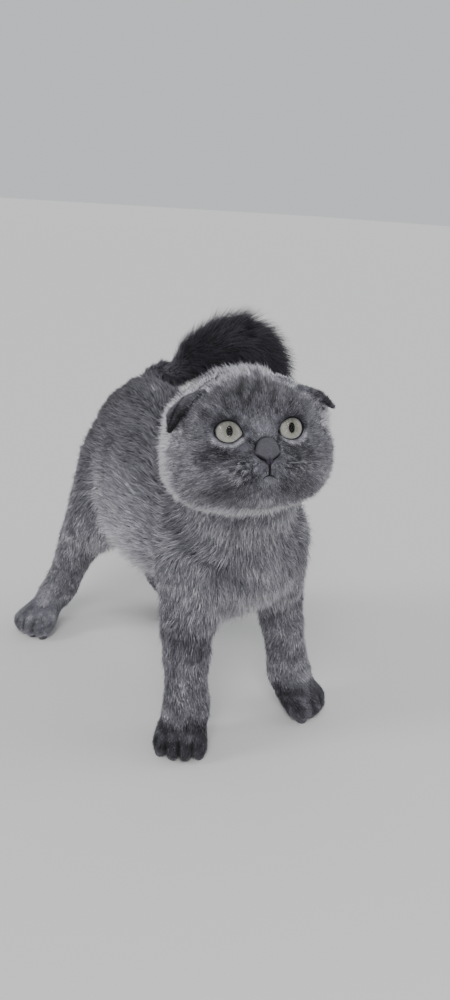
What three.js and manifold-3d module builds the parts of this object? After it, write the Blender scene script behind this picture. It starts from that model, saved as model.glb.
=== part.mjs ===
// A scottish fold kitten standing braced, back arched and tail bristled, as a life-size model.
// Millimetres, +Z up. The cat faces -Y, so its right side is -X. The soles stand on z = 0.
import * as THREE from 'three';
import { mergeVertices } from 'three/addons/utils/BufferGeometryUtils.js';
import Module from 'manifold-3d';

const wasm = await Module();
wasm.setup();

// Driving sizes
const CUT = 0.3;                 // gap between neighbouring nodes
const TRUNK_CELL = 8.6;          // facet size of the trunk and the upper legs
const HEAD_CELL = 4.4;           // facet size of the head
const PAW_CELL = 4.5;            // facet size of the paws
const TAIL_CELL = 7.5;           // facet size of the tail
const HEAD_AT = [-21.5, -80, 192.5];
const HEAD_YAW = -26;            // turned to the cat's right
const HEAD_PITCH = -19;          // looking up
const HEAD_ROLL = -2.8;          // left side higher
const EYE_RADIUS = 8.6;
const EYE_AT = [13.9, -25.2, 3]; // left eye, in the head's own frame
const EYE_OUTWARD = 10;          // degrees that each eye turns outward
const LID_OPEN = [6.5, 6.2];     // half width and half height of the lid opening
const CORNEA = 6.8;              // radius of the clear front of the eye
const LID_THICK = 1.5;
const NOSE_AT = [0, -41.5, -6];
const NOSE_SIZE = [6.1, 5.2, 5.8];
const LIP_GROOVE = 1;            // radius of the line of the mouth
const EAR = {
  inner: [20, -23.5, 21.5], outer: [36, -4, 14], rise: [4, -4, 4.5], thick: 2,
  tip: { right: [38, -26, 4.5], left: [40.5, -18.5, 12] },
};
const WRIST_Z = 24;              // height of the cut above each paw
const PAW_RAISE = -0.8;          // the flat sole cuts this much off the paw
const TAIL_PATH = [[2, 72, 166], [8, 69, 181], [22, 56, 195], [37, 42, 208], [50, 30, 218],
  [60, 20, 221], [69, 12, 215], [75, 7, 203], [77, 6, 193]];
const TAIL_RADIUS = [10, 10.5, 12.5, 15.5, 17, 17, 16, 15, 11];
const TAIL_CORE = 0.5;           // core under the locks, as a share of the tail's reach
const LOCK_RINGS = 9;
const LOCKS_FROM = 0.3;          // where the first ring stands along the tail
const LOCKS_TO = 0.95;
const LOCK_RUN = 25;             // how far a lock reaches along the tail
const LOCK_WIDTH = 17.5;
const LOCK_COVER = 0.72;         // share of a ring that its locks cover
const LOCK_THICK = 2.6;
const LOCK_TAPER = [0.6, 0.95, 0.9, 0.3];
const LOCK_ROOT = 0.28;          // how deep the root sits, as a share of the reach
const LOCK_BEND = 1.5;           // how far over the lock arches, in radians
const LOCK_CLOSE = 0.45;         // how fast the locks past the tip close in

let seed = 23;
function chance() {
  seed = (seed * 16807) % 2147483647;
  return seed / 2147483647;
}

const rad = THREE.MathUtils.degToRad;
const v3 = (a) => new THREE.Vector3(a[0], a[1], a[2]);
const both = (make) => [make(-1), make(1)];
const turning = (x, y, z) => new THREE.Matrix4().makeRotationFromEuler(
  new THREE.Euler(rad(x), rad(y), rad(z), 'ZXY'));

// Fields of the flesh: functions of a point, negative inside
function ball(at, size, turn = [0, 0, 0]) {
  const m = turning(...turn).transpose().elements;
  const [a, b, c] = size;
  return (x, y, z) => {
    const dx = x - at[0];
    const dy = y - at[1];
    const dz = z - at[2];
    const u = (m[0] * dx + m[4] * dy + m[8] * dz) / a;
    const v = (m[1] * dx + m[5] * dy + m[9] * dz) / b;
    const w = (m[2] * dx + m[6] * dy + m[10] * dz) / c;
    const k0 = Math.hypot(u, v, w);
    const k1 = Math.hypot(u / a, v / b, w / c);
    return k1 < 1e-9 ? -Math.min(a, b, c) : (k0 * (k0 - 1)) / k1;
  };
}

function rod(from, to, r0, r1) {
  const d = [to[0] - from[0], to[1] - from[1], to[2] - from[2]];
  const dd = d[0] ** 2 + d[1] ** 2 + d[2] ** 2;
  return (x, y, z) => {
    const px = x - from[0];
    const py = y - from[1];
    const pz = z - from[2];
    const t = Math.min(1, Math.max(0, (px * d[0] + py * d[1] + pz * d[2]) / dd));
    return Math.hypot(px - t * d[0], py - t * d[1], pz - t * d[2]) - (r0 + (r1 - r0) * t);
  };
}

function blend(soft, shapes) {
  return (x, y, z) => {
    let best = shapes[0](x, y, z);
    for (let i = 1; i < shapes.length; i += 1) {
      const next = shapes[i](x, y, z);
      const h = Math.max(soft - Math.abs(best - next), 0);
      best = Math.min(best, next) - (h * h) / (4 * soft);
    }
    return best;
  };
}

const headFrame = turning(HEAD_PITCH, HEAD_ROLL, HEAD_YAW).setPosition(v3(HEAD_AT));

function inHead(shape) {
  const m = headFrame.clone().invert().elements;
  return (x, y, z) => shape(
    m[0] * x + m[4] * y + m[8] * z + m[12],
    m[1] * x + m[5] * y + m[9] * z + m[13],
    m[2] * x + m[6] * y + m[10] * z + m[14]);
}

const trunk = blend(12, [
  ball([2, -44, 120], [43, 46, 44], [-20, 0, 0]),
  ball([0, -58, 112], [34, 30, 34]),
  ball([0, 10, 125], [40, 51, 49]),
  ball([0, 31, 161], [26, 43, 37]),
  ball([0, 58, 136], [34, 33, 45], [18, 0, 0]),
  ball([-26, -52, 112], [19, 27, 36], [-12, 0, 0]),
  ball([29, -54, 114], [20, 27, 38], [-12, 0, 0]),
  ...both((s) => ball([s * 23, 62, 110], [17, 23, 34], [-10, 0, 0])),
  rod([3, 68, 170], TAIL_PATH[2], 13, 9),
]);
const neck = rod([-4, -56, 148], [-14, -74, 178], 35, 34);

const skull = inHead(blend(6, [
  ball([0, 3, 5], [38, 37, 32]),
  ...both((s) => ball([s * 20, -6, -10], [24, 27, 25])),
  ball([0, -16, -14], [29, 25, 21]),
  ...both((s) => ball([s * 25, -1, 12], [15, 20, 16])),
  ...both((s) => ball([s * 15, -21, 11], [16, 12, 11])),
  rod([0, -30, 1], [0, -38, -6], 8, 6),
  ...both((s) => ball([s * 8, -34, -16], [11, 11, 9])),
  ball([0, -31, -27], [10, 10, 7]),
]));

const FORELEGS = {
  right: { side: -1, paw: [-42, -68], turn: -42, wrist: [-38, -67, 26], elbow: [-36, -60, 76] },
  left: { side: 1, paw: [43, -81], turn: 22, wrist: [38, -73, 26], elbow: [35, -60, 76] },
};
const HINDLEGS = {
  right: { side: -1, paw: [-55, 96], turn: -72, hock: [-35, 98, 30], knee: [-30, 74, 76] },
  left: { side: 1, paw: [47, 59], turn: 20, hock: [41, 78, 30], knee: [33, 58, 76] },
};

function pawOf(leg) {
  const a = rad(leg.turn);
  const place = (x, y, z) => [
    leg.paw[0] + x * Math.cos(a) - y * Math.sin(a),
    leg.paw[1] + x * Math.sin(a) + y * Math.cos(a), z + PAW_RAISE];
  const toes = [-1.5, -0.5, 0.5, 1.5].map((k) => ball(
    place(k * 7.6, -8 + Math.abs(k) * 3, 8), [5.6, 9.5, 8], [0, 0, leg.turn]));
  return blend(3, [ball(place(0, 0, 11), [14.5, 15, 11], [0, 0, leg.turn]), ...toes]);
}

const foreleg = (leg) => blend(8, [
  rod([leg.side * 28, -54, 112], leg.elbow, 22, 15.5),
  rod(leg.elbow, leg.wrist, 15.5, 13),
  rod(leg.wrist, [leg.paw[0], leg.paw[1] + 4, 12], 13.5, 12),
]);

const hindleg = (leg) => blend(8, [
  rod([leg.side * 23, 60, 112], leg.knee, 23, 15.5),
  rod(leg.knee, leg.hock, 15.5, 12.5),
  rod(leg.hock, [leg.paw[0], leg.paw[1], 11], 12.5, 11),
]);

const tailCore = blend(4, TAIL_PATH.slice(1).map((p, i) => rod(
  TAIL_PATH[i], p, TAIL_RADIUS[i] * TAIL_CORE, TAIL_RADIUS[i + 1] * TAIL_CORE)));

// Closed surface round a field: one vertex in each cell that the surface crosses
function skinOf(field, low, high, cell) {
  const n = low.map((v, i) => Math.ceil((high[i] - v) / cell) + 1);
  const stride = [1, n[0], n[0] * n[1]];
  const value = new Float64Array(n[0] * n[1] * n[2]);
  const points = [];
  const faces = [];
  const owner = new Map();
  const visit = (act) => {
    for (let k = 0; k < n[2] - 1; k += 1) {
      for (let j = 0; j < n[1] - 1; j += 1) {
        for (let i = 0; i < n[0] - 1; i += 1) {
          act([i, j, k], i + j * stride[1] + k * stride[2]);
        }
      }
    }
  };
  value.fill(1);
  visit((g, id) => {
    if (!g.includes(0)) value[id] = field(...g.map((v, a) => low[a] + v * cell)) || 1e-6;
  });
  visit((g, id) => {
    const middle = crossing(value, stride, id);
    if (!middle) return;
    owner.set(id, points.length);
    points.push(settle(field, middle.map((v, a) => low[a] + (g[a] + v) * cell), cell));
  });
  visit((g, id) => {
    for (let a = 0; a < 3; a += 1) {
      const b = (a + 1) % 3;
      const c = (a + 2) % 3;
      if (g[b] && g[c] && (value[id] < 0) !== (value[id + stride[a]] < 0)) {
        const ring = [id, id - stride[b], id - stride[b] - stride[c], id - stride[c]];
        const quad = ring.map((i) => owner.get(i));
        addQuad(faces, points, value[id] < 0 ? quad : quad.reverse());
      }
    }
  });
  return solid(points.flat(), faces.flat());
}

// Middle of the places where the surface crosses the twelve edges of a cell
function crossing(value, stride, id) {
  const sum = [0, 0, 0];
  let count = 0;
  for (let corner = 0; corner < 8; corner += 1) {
    const bits = [corner & 1, (corner >> 1) & 1, (corner >> 2) & 1];
    const from = value[id + bits[0] * stride[0] + bits[1] * stride[1] + bits[2] * stride[2]];
    for (let a = 0; a < 3; a += 1) {
      if (!bits[a]) {
        const i = id + bits[0] * stride[0] + bits[1] * stride[1] + bits[2] * stride[2];
        const to = value[i + stride[a]];
        if ((from < 0) !== (to < 0)) {
          bits.forEach((v, q) => { sum[q] += q === a ? from / (from - to) : v; });
          count += 1;
        }
      }
    }
  }
  return count ? sum.map((v) => v / count) : null;
}

// Moves a point along the slope of the field onto its surface
function settle(field, start, cell) {
  const h = 0.05;
  let p = start;
  for (let turn = 0; turn < 3; turn += 1) {
    const f = field(...p);
    const g = [0, 1, 2].map((a) => {
      const q = [...p];
      q[a] += h;
      return (field(...q) - f) / h;
    });
    const gg = Math.max(g[0] ** 2 + g[1] ** 2 + g[2] ** 2, 0.05);
    p = p.map((v, a) => v - (f * g[a]) / gg);
  }
  return p.map((v, a) => Math.min(start[a] + cell * 0.4, Math.max(start[a] - cell * 0.4, v)));
}

function addQuad(faces, points, ring) {
  const span = (i, j) => Math.hypot(...points[ring[i]].map((v, a) => v - points[ring[j]][a]));
  const [a, b, c, d] = ring;
  faces.push(...(span(0, 2) < span(1, 3) ? [[a, b, c], [a, c, d]] : [[a, b, d], [b, c, d]]));
}

// Solids
function solid(points, faces) {
  return new wasm.Manifold(new wasm.Mesh({
    numProp: 3, vertProperties: new Float32Array(points), triVerts: new Uint32Array(faces),
  }));
}

function solidOf(geometry, matrix) {
  const bare = geometry.clone();
  bare.deleteAttribute('uv');
  bare.deleteAttribute('normal');
  if (matrix) bare.applyMatrix4(matrix);
  const merged = mergeVertices(bare, 1e-4);
  return solid(merged.attributes.position.array, merged.index.array);
}

const placed = (at, turn, size = [1, 1, 1]) => turning(...turn).scale(v3(size)).setPosition(v3(at));
const sphere = (r, matrix, n = 24) => solidOf(new THREE.SphereGeometry(r, n, n / 2), matrix);

// Flat slab through a point, square to a direction
function slab(at, direction, reach, thick = CUT) {
  const q = new THREE.Quaternion().setFromUnitVectors(v3([0, 0, 1]), v3(direction).normalize());
  const m = new THREE.Matrix4().makeRotationFromQuaternion(q).setPosition(v3(at));
  return solidOf(new THREE.BoxGeometry(reach * 2, reach * 2, thick), m);
}

// Everything on the far side of a plane
function beyond(at, direction, reach = 400) {
  const d = v3(direction).normalize();
  return slab(v3(at).addScaledVector(d, reach / 2 + CUT / 2).toArray(), direction, reach, reach);
}

function largest(body) {
  return body.decompose().sort((a, b) => b.volume() - a.volume())[0];
}

function headPoint(p) {
  return v3(p).applyMatrix4(headFrame).toArray();
}

function headWay(p) {
  return v3(p).transformDirection(headFrame).toArray();
}

const group = new THREE.Group();

function addNode(name, body, colour, roughness = 0.85) {
  const mesh = body.getMesh();
  const geometry = new THREE.BufferGeometry();
  geometry.setAttribute('position', new THREE.BufferAttribute(
    new Float32Array(mesh.vertProperties), mesh.numProp));
  geometry.setIndex(new THREE.BufferAttribute(new Uint32Array(mesh.triVerts), 1));
  geometry.computeVertexNormals();
  const node = new THREE.Mesh(geometry, new THREE.MeshStandardMaterial({ color: colour, roughness }));
  node.name = name;
  group.add(node);
}

// Closed solid through rings of points, a fan at each end
function loft(rings) {
  const m = rings[0].length;
  const points = rings.flat();
  const faces = [];
  for (let r = 0; r + 1 < rings.length; r += 1) {
    for (let i = 0; i < m; i += 1) {
      const a = r * m + i;
      const b = r * m + ((i + 1) % m);
      faces.push([a, b, b + m], [a, b + m, a + m]);
    }
  }
  [0, rings.length - 1].forEach((r, end) => {
    const ring = rings[r];
    const hub = points.length;
    points.push([0, 1, 2].map((a) => ring.reduce((sum, p) => sum + p[a], 0) / m));
    for (let i = 0; i < m; i += 1) {
      const pair = [r * m + i, r * m + ((i + 1) % m)];
      faces.push(end ? [...pair, hub] : [pair[1], pair[0], hub]);
    }
  });
  const volume = faces.reduce((sum, f) => sum + v3(points[f[0]]).dot(
    v3(points[f[1]]).cross(v3(points[f[2]]))), 0);
  return solid(points.flat(), (volume < 0 ? faces.map((f) => [...f].reverse()) : faces).flat());
}

// Round cord along a path
function cord(path, radius, sides = 6) {
  const curve = new THREE.CatmullRomCurve3(path.map(v3));
  const count = path.length * 3;
  const frames = curve.computeFrenetFrames(count);
  return loft(Array.from({ length: count + 1 }, (_, r) => {
    const middle = curve.getPointAt(r / count);
    const size = radius * Math.min(1, 0.35 + 2.5 * Math.min(r, count - r) / count);
    return Array.from({ length: sides }, (__, i) => {
      const a = (i / sides) * Math.PI * 2;
      return middle.clone()
        .addScaledVector(frames.normals[r], Math.cos(a) * size)
        .addScaledVector(frames.binormals[r], Math.sin(a) * size).toArray();
    });
  }));
}

// Where the face of the skull lies, seen from the front, in the head's own frame
function onFace(x, z, depth = 0) {
  let y = -60;
  for (let i = 0; i < 40; i += 1) y += skull(...headPoint([x, y, z])) * 0.7;
  return headPoint([x, y + depth, z]);
}

// Head: neck plane, eye sockets with lids, nose pocket, mouth line, ear hollows
const NECK_TOP = { at: headPoint([0, 14, -27]), way: headWay([0, -0.55, 0.83]) };
const headField = blend(8, [trunk, neck, skull]);
const inEye = (s, size) => headFrame.clone().multiply(
  placed([s * EYE_AT[0], EYE_AT[1], EYE_AT[2]], [0, 0, s * EYE_OUTWARD], size));
const inFace = (at, size, turn = [0, 0, 0]) => headFrame.clone().multiply(placed(at, turn, size));

function lidOpening(s) {
  const funnel = new THREE.CylinderGeometry(0.9, 1.4, 16, 18);
  funnel.translate(0, -11, 0);
  funnel.scale(LID_OPEN[0], 1, LID_OPEN[1]);
  return solidOf(funnel, inEye(s));
}

function mouthLine() {
  const lip = (s) => cord([[0, -17], [s * 4, -19.5], [s * 8, -20.5], [s * 11.5, -19]].map(
    ([x, z]) => onFace(x, z, 0.2)), LIP_GROOVE);
  const cleft = cord([-11, -13, -15, -17.3].map((z) => onFace(0, z, 0.2)), LIP_GROOVE);
  return cleft.add(lip(-1)).add(lip(1));
}

const nosePad = (grow) => sphere(1, inFace(NOSE_AT, NOSE_SIZE.map((v) => v + grow)), 16);

function headSolid() {
  let head = skinOf(headField, HEAD_AT.map((v) => v - 58), HEAD_AT.map((v) => v + 52), HEAD_CELL);
  head = largest(head.intersect(beyond(NECK_TOP.at, NECK_TOP.way)));
  [-1, 1].forEach((s) => {
    head = head.add(sphere(EYE_RADIUS + LID_THICK, inEye(s), 16));
    head = head.subtract(sphere(EYE_RADIUS + CUT, inEye(s), 16)).subtract(lidOpening(s));
    head = head.subtract(sphere(1, inFace([s * 33, -13, 13], [4, 4, 5]), 8));
  });
  return largest(head.subtract(mouthLine()).subtract(nosePad(CUT)));
}

function eyeSolid(s) {
  return sphere(EYE_RADIUS, inEye(s), 16).add(
    sphere(CORNEA, inEye(s).multiply(placed([0, -2.7, 0], [0, 0, 0])), 14));
}

function noseSolid() {
  return [-1, 1].reduce((pad, s) => pad.subtract(
    sphere(1, inFace([s * 3.2, -46.2, -9.2], [1.9, 2.6, 1.2], [0, s * 35, 0]), 8)), nosePad(0));
}

// Ear: a thin folded flap arched forward and down over its cup
function earPoint(s, u, v) {
  const mix = (a, b, t) => a.map((q, i) => q + (b[i] - q) * t);
  const root = mix(EAR.inner, EAR.outer, (u + 1) / 2);
  const crest = root.map((q, i) => q + EAR.rise[i] * (1.1 - 0.35 * u * u));
  const end = s < 0 ? EAR.tip.right : EAR.tip.left;
  const tip = end.map((q, i) => q + (EAR.outer[i] - EAR.inner[i]) * u * 0.1);
  const p = mix(mix(root, crest, v), mix(crest, tip, v), v);
  return [p[0] * s, p[1], p[2]];
}

function earSolid(s, skullOutside) {
  const rings = Array.from({ length: 8 }, (_, r) => {
    const v = r / 7;
    const sheet = (side) => Array.from({ length: 7 }, (__, c) => {
      const u = (c / 3 - 1) * side;
      const p = v3(earPoint(s, u, v));
      const across = v3(earPoint(s, u + 0.05, v)).sub(p);
      const along = v3(earPoint(s, u, v + 0.05)).sub(p);
      const thick = EAR.thick * (1 - 0.35 * v) * (1 - 0.3 * u * u) * 0.5 * side * s;
      return p.addScaledVector(across.cross(along).normalize(), thick).toArray();
    });
    return [...sheet(1), ...sheet(-1)].map(headPoint);
  });
  return largest(loft(rings).subtract(skullOutside));
}

// Middle line of the tail, its way and its reach at a share of its length, also past the tip
const tailCurve = new THREE.CatmullRomCurve3(TAIL_PATH.map(v3));
const tailFrames = tailCurve.computeFrenetFrames(100);
function tailAt(share) {
  const u = Math.min(share, 1);
  const frame = Math.round(u * 100);
  const along = tailFrames.tangents[frame];
  const t = tailCurve.getUtoTmapping(u);
  const low = Math.min(Math.floor(t * (TAIL_PATH.length - 1)), TAIL_PATH.length - 2);
  const reach = THREE.MathUtils.lerp(
    TAIL_RADIUS[low], TAIL_RADIUS[low + 1], t * (TAIL_PATH.length - 1) - low);
  const past = (share - u) * tailCurve.getLength();
  return {
    middle: tailCurve.getPoint(t).addScaledVector(along, past),
    along, normal: tailFrames.normals[frame], reach: reach - past * LOCK_CLOSE,
  };
}

// Lock: flat and tapered, rising from the core and bending over towards the tip of the tail
function lock(share, turn, run, size) {
  const last = LOCK_TAPER.length - 1;
  return loft(LOCK_TAPER.map((taper, i) => {
    const t = i / last;
    const here = tailAt(share + (run * t) / tailCurve.getLength());
    const out = here.normal.clone().applyAxisAngle(here.along, turn);
    const side = here.along.clone().cross(out);
    const height = here.reach * (LOCK_ROOT + (1 - LOCK_ROOT) * Math.sin(t * LOCK_BEND)) * size;
    const ridge = LOCK_THICK * Math.max(taper, 0.4);
    return [[-1, 0], [0, 1], [1, 0]].map(([a, b]) => here.middle.clone()
      .addScaledVector(out, height - ridge * (1 - b))
      .addScaledVector(side, a * 0.5 * taper * LOCK_WIDTH).toArray());
  }));
}

// Locks of the tail in rings, each ring turned half a lock from the last
function tailLocks() {
  const locks = [];
  for (let ring = 0; ring < LOCK_RINGS; ring += 1) {
    const share = LOCKS_FROM + ((LOCKS_TO - LOCKS_FROM) * ring) / (LOCK_RINGS - 1);
    const count = Math.round((2 * Math.PI * tailAt(share + 0.1).reach * LOCK_COVER) / LOCK_WIDTH);
    for (let i = 0; i < count; i += 1) {
      const turn = ((i + (ring % 2) / 2 + chance() * 0.15) / count) * Math.PI * 2;
      locks.push(lock(share, turn, LOCK_RUN * (0.9 + chance() * 0.2), 0.93 + chance() * 0.12));
    }
  }
  return locks.reduce((all, one) => all.add(one));
}

// Body in one surface, then thin cuts
const LEGS = [
  ['foreleg_right', FORELEGS.right, foreleg], ['foreleg_left', FORELEGS.left, foreleg],
  ['hindleg_right', HINDLEGS.right, hindleg], ['hindleg_left', HINDLEGS.left, hindleg],
];
const bodyField = blend(8, [trunk, neck, skull, ...LEGS.map(([, leg, limb]) => limb(leg))]);

function bodySolid() {
  const body = skinOf(bodyField, [-75, -130, WRIST_Z - 14], [75, 135, 235], TRUNK_CELL);
  const below = slab([0, 0, WRIST_Z - 40], [0, 0, 1], 300, 80 + CUT);
  const above = v3(NECK_TOP.at).addScaledVector(v3(NECK_TOP.way), 50 - CUT / 2).toArray();
  const plain = largest(body.subtract(below).subtract(slab(above, NECK_TOP.way, 62, 100)));
  const core = skinOf(tailCore, [-25, -30, 140], [115, 100, 260], TAIL_CELL);
  return plain.add(core).add(tailLocks());
}

const CUTS = [
  [[-3, -60, 143], [-0.05, -0.55, 0.84], 90],
  [[0, -12, 130], [0, 1, 0], 100],
  [[0, 38, 130], [0, 1, 0], 100],
  ...LEGS.map(([name, leg]) => (name.startsWith('fore')
    ? [[leg.elbow[0], leg.elbow[1], 70], [0, 0, 1], 34]
    : [[leg.knee[0], leg.knee[1] + 6, 82], [0, 0, 1], 38])),
  ...LEGS.slice(2).map(([, leg]) => [
    [leg.side * 33, (leg.knee[1] + leg.hock[1]) / 2, 52], [0, -0.3, 1], 34]),
  [[25, 53, 197.5], [15, -14, 13], 20],
  [[51, 29, 218], [11, -11, 5], 26],
  [[71, 10, 212], [6, -5, -10], 24],
];
const ANCHORS = {
  neck: [-8, -72, 152], chest: [0, -48, 112], loin: [0, 13, 135], rump: [0, 62, 135],
  foreleg_right: [-38, -62, 48], foreleg_left: [36, -66, 48],
  hindleg_right_thigh: [-32, 66, 68], hindleg_left_thigh: [34, 54, 68],
  hindleg_right_shank: [-32, 84, 40], hindleg_left_shank: [38, 68, 40],
  tail_base: [36, 42, 207], tail_middle: [61, 20, 219], tail_tip: [76, 6, 198],
};

function bodyNodes() {
  const body = CUTS.reduce((rest, [at, way, reach]) => rest.subtract(slab(at, way, reach)),
    bodySolid());
  const found = {};
  body.decompose().forEach((piece) => {
    const box = piece.boundingBox();
    const middle = v3(box.min).add(v3(box.max)).multiplyScalar(0.5);
    const near = Object.entries(ANCHORS).sort((a, b) => v3(a[1]).distanceTo(middle)
      - v3(b[1]).distanceTo(middle))[0][0];
    if (!found[near] || found[near].volume() < piece.volume()) found[near] = piece;
  });
  return found;
}

function footSolid(leg, limb) {
  const field = blend(5, [limb(leg), pawOf(leg)]);
  const [x, y] = leg.paw;
  const foot = skinOf(field, [x - 34, y - 34, -6], [x + 34, y + 34, WRIST_Z + 8], PAW_CELL);
  const top = WRIST_Z - CUT / 2;
  return largest(foot.intersect(slab([x, y, top / 2], [0, 0, 1], 60, top)));
}

const GREY = 0x74757d;
const SMOKE = 0x3c3e46;
const body = bodyNodes();
const head = headSolid();
Object.entries(body).forEach(([name, piece]) => addNode(
  name, piece, name.startsWith('tail') ? SMOKE : GREY));
LEGS.forEach(([name, leg, limb]) => addNode(
  name.startsWith('fore') ? name.replace('leg', 'paw') : `${name}_foot`, footSolid(leg, limb), SMOKE));
addNode('head', head, GREY);
const skullOutside = skinOf((x, y, z) => headField(x, y, z) - CUT,
  HEAD_AT.map((v) => v - 58), HEAD_AT.map((v) => v + 52), HEAD_CELL);
[['ear_right', -1], ['ear_left', 1]].forEach(([name, s]) => addNode(
  name, earSolid(s, skullOutside), SMOKE));
[['eye_right', -1], ['eye_left', 1]].forEach(([name, s]) => addNode(name, eyeSolid(s), 0xa9ad98, 0.2));
addNode('nose', noseSolid(), 0x5b5c66, 0.6);

// Origin at the middle of the box's underside
const box = new THREE.Box3().setFromObject(group);
const middle = box.getCenter(new THREE.Vector3());
group.position.set(-middle.x, -middle.y, -box.min.z);

export default group;
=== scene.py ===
import math
import bmesh
import bpy
import numpy as np
from mathutils import Matrix, Vector
from mathutils.bvhtree import BVHTree


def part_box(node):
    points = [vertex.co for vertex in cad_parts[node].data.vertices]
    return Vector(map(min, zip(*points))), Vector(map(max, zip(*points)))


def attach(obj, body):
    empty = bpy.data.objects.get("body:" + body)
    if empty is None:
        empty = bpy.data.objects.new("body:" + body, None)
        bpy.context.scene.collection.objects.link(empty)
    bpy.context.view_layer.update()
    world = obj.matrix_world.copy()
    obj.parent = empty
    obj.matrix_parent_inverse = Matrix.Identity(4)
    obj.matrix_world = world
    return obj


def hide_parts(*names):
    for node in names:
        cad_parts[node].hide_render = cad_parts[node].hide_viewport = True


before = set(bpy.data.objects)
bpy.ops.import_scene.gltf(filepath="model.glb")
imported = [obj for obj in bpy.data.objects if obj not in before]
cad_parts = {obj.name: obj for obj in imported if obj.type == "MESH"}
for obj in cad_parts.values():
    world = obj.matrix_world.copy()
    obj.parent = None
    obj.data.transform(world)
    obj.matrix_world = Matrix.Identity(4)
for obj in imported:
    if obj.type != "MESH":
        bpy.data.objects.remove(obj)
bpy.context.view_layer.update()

# Camera: a phone held low in front of the kitten's right shoulder, tipped down at it.
# Drawing sizes are millimetres in the frame that the solids were drawn in.
MM = 0.001
NOSE_LOW = (-45.24, -122.47, 194.6)     # the low corner of the nose's box, as drawn
LENS = 26.28
SENSOR = 36.0
CAMERA_AT = (-251.7, -343.6, 300.0)
CAMERA_RIGHT = (0.78032, -0.62236, 0.06145)
CAMERA_UP = (0.18949, 0.32893, 0.92515)
CAMERA_BACK = (-0.59598, -0.71026, 0.37461)

origin = np.array(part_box("nose")[0]) - np.array(NOSE_LOW) * MM


def place(point):
    return Vector(np.array(point) * MM + origin)


def link(name, data):
    """A new object in the scene from a mesh, a curve, a lamp or a camera."""
    made = bpy.data.objects.new(name, data)
    bpy.context.scene.collection.objects.link(made)
    return made


view = bpy.data.cameras.new("camera")
view.lens = LENS
view.sensor_width = SENSOR
view.clip_start = 0.02
camera = link("camera", view)
turn = Matrix((CAMERA_RIGHT, CAMERA_UP, CAMERA_BACK)).transposed()
camera.matrix_world = Matrix.Translation(place(CAMERA_AT)) @ turn.to_4x4()
bpy.context.scene.camera = camera

# Skin: the body under the coat in one closed surface, from head to tail, as on a living kitten.
# Made from the solids' own shapes, closed over their cuts, smoothed, and sunk by the coat's depth.
FLESH = ["head", "neck", "chest", "loin", "rump", "ear_right", "ear_left",
         "foreleg_right", "foreleg_left", "forepaw_right", "forepaw_left",
         "hindleg_right_thigh", "hindleg_left_thigh", "hindleg_right_shank",
         "hindleg_left_shank", "hindleg_right_foot", "hindleg_left_foot"]
TAIL = ["tail_base", "tail_middle", "tail_tip"]
SKIN_CELL = 1.05
SKIN_FACES = 188000
SMOOTH_ROUNDS = 30
CLOSE_CUTS = 0.4          # each solid grows by this so that the cuts between them close
HEAD_AT = np.array([-21.5, -80.0, 192.5])
HEAD_TURN = np.array((Matrix.Rotation(math.radians(-26), 3, "Z")
                      @ Matrix.Rotation(math.radians(-19), 3, "X")
                      @ Matrix.Rotation(math.radians(-2.8), 3, "Y")))
HEAD_OVAL_AT = np.array([0, -4, 0])
HEAD_OVAL = np.array([43, 40, 37])
HEAD_REACH = 38           # the head's mean radius
EYE_AT = np.array([13.9, -25.2, 3.0])
EYE_RADIUS = 8.6
EYE_OUT = 10              # degrees that each eye is turned outward
NOSE_MIDDLE = np.array([0, -41.8, -7.3])
NOSE_SIZE = np.array([5.3, 3.8, 6.6])
TAIL_PATH = np.array([[2, 72, 166], [8, 67, 177], [22, 55, 190], [37, 42, 207], [49.5, 30, 216],
                      [58.5, 20, 218.5], [65.5, 12.5, 213], [71, 7, 201.5], [72.5, 6, 191]], float)
TAIL_RADIUS = np.array([10, 10.5, 12.5, 15.5, 17, 17, 16, 15, 11], float)
TAIL_CORE = 0.45          # share of that radius that is flesh
TAIL_COAT = (3, 3, 5.5, 10.5, 14, 14.5, 12, 10)     # hair between the points of the path


def in_head(points):
    return (points - HEAD_AT) @ HEAD_TURN


def from_head(points):
    return np.array(points, float) @ HEAD_TURN.T + HEAD_AT


def step(low, high, value):
    t = np.clip((value - low) / (high - low), 0, 1)
    return t * t * (3 - 2 * t)


def norms(rows):
    return np.linalg.norm(rows, axis=1)


def unit(rows):
    return rows / np.maximum(norms(rows), 1e-9)[:, None]


def fade(value, wide):
    """One where a value is nothing, less and less past the given width."""
    return np.exp(-(value / wide) ** 2)


def folded(points):
    """The points with the right side turned over onto the left."""
    return np.column_stack([np.abs(points[:, 0]), points[:, 1:]])


def mesh_of(name, shape):
    mesh = bpy.data.meshes.new(name)
    shape.to_mesh(mesh)
    return mesh


def evaluated(piece):
    graph = bpy.context.evaluated_depsgraph_get()
    return bpy.data.meshes.new_from_object(piece.evaluated_get(graph))


def settled(piece):
    """The piece's mesh with its modifiers applied."""
    mesh = evaluated(piece)
    piece.modifiers.clear()
    piece.data = mesh
    return mesh


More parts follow.
